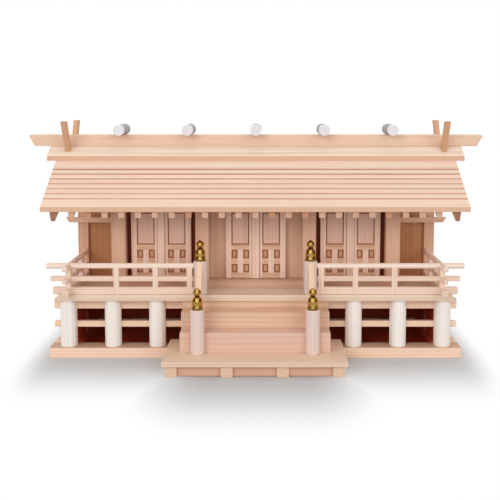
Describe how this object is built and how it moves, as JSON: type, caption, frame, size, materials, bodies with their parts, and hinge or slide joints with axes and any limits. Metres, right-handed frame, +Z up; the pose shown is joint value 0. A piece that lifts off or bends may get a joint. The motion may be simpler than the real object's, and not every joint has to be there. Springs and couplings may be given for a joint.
{
  "type": "household altar",
  "caption": "Kamidana household altar in plain cypress: double doors behind a railed veranda, a flight of steps, brass newel caps and one long gabled roof with ridge logs.",
  "frame": {"origin": "on the floor, under the middle of the overall box", "axes": "+X to the altar's right as seen from the front, along the ridge; front faces -Y; +Z up"},
  "size_m": [0.54, 0.24, 0.2625],
  "materials": {
    "cypress": "planed, unfinished",
    "roof_wood": "planed, unfinished",
    "door_wood": "planed, unfinished",
    "round_wood": "turned, unfinished",
    "cap_brass": "polished"
  },
  "bodies": {
    "altar": {"base_front_beam": "cypress", "base_rear_beam": "cypress", "base_side_beams": "cypress", "base_bottom_board": "cypress", "columns": "round_wood", "tie_beams_front": "cypress", "tie_beams_side": "cypress", "skirt_side_boards": "cypress", "skirt_rear_board": "cypress", "veranda_board": "cypress", "hall_floor": "cypress", "railing_front_left": "cypress", "railing_front_right": "cypress", "railing_side_left": "cypress", "railing_side_right": "cypress", "newels": "round_wood", "newel_caps": "cap_brass", "stair_handrails": "cypress", "step_lower": "cypress", "step_middle": "cypress", "step_upper": "cypress", "landing_board": "cypress", "landing_feet": "cypress", "landing_panels": "cypress", "sill": "cypress", "lintels": "cypress", "front_pillars": "cypress", "corner_posts": "cypress", "jamb_boards": "cypress", "wall_plates": "cypress", "wing_panels": "cypress", "wing_beams": "cypress", "hall_side_walls": "cypress", "wing_side_walls": "cypress", "rear_wall": "cypress", "rafters": "cypress", "bargeboards": "cypress", "roof_front": "roof_wood", "roof_rear": "roof_wood", "ridge_saddle": "roof_wood", "ridge_board": "roof_wood", "ridge_logs": "round_wood", "finials": "roof_wood"},
    "left_door_left_leaf": {"left_door_left_leaf": "door_wood"},
    "left_door_right_leaf": {"left_door_right_leaf": "door_wood"},
    "centre_door_left_leaf": {"centre_door_left_leaf": "door_wood"},
    "centre_door_right_leaf": {"centre_door_right_leaf": "door_wood"},
    "right_door_left_leaf": {"right_door_left_leaf": "door_wood"},
    "right_door_right_leaf": {"right_door_right_leaf": "door_wood"}
  },
  "joints": [
    {"name": "left_door_right_hinge", "type": "hinge", "parent": "altar", "child": "left_door_right_leaf", "pos_m": [-0.0782, -0.007, 0.0805], "axis": [0, 0, 1], "range_deg": [0, 90]},
    {"name": "left_door_left_hinge", "type": "hinge", "parent": "altar", "child": "left_door_left_leaf", "pos_m": [-0.1418, -0.007, 0.0805], "axis": [0, 0, 1], "range_deg": [-90, 0]},
    {"name": "centre_door_right_hinge", "type": "hinge", "parent": "altar", "child": "centre_door_right_leaf", "pos_m": [0.0318, -0.007, 0.0805], "axis": [0, 0, 1], "range_deg": [0, 90]},
    {"name": "centre_door_left_hinge", "type": "hinge", "parent": "altar", "child": "centre_door_left_leaf", "pos_m": [-0.0318, -0.007, 0.0805], "axis": [0, 0, 1], "range_deg": [-90, 0]},
    {"name": "right_door_right_hinge", "type": "hinge", "parent": "altar", "child": "right_door_right_leaf", "pos_m": [0.1418, -0.007, 0.0805], "axis": [0, 0, 1], "range_deg": [0, 90]},
    {"name": "right_door_left_hinge", "type": "hinge", "parent": "altar", "child": "right_door_left_leaf", "pos_m": [0.0782, -0.007, 0.0805], "axis": [0, 0, 1], "range_deg": [-90, 0]}
  ],
  "couplings": [
    {"joint": "left_door_left_hinge", "follows": "left_door_right_hinge", "ratio": -1},
    {"joint": "centre_door_left_hinge", "follows": "centre_door_right_hinge", "ratio": -1},
    {"joint": "right_door_left_hinge", "follows": "right_door_right_hinge", "ratio": -1}
  ]
}
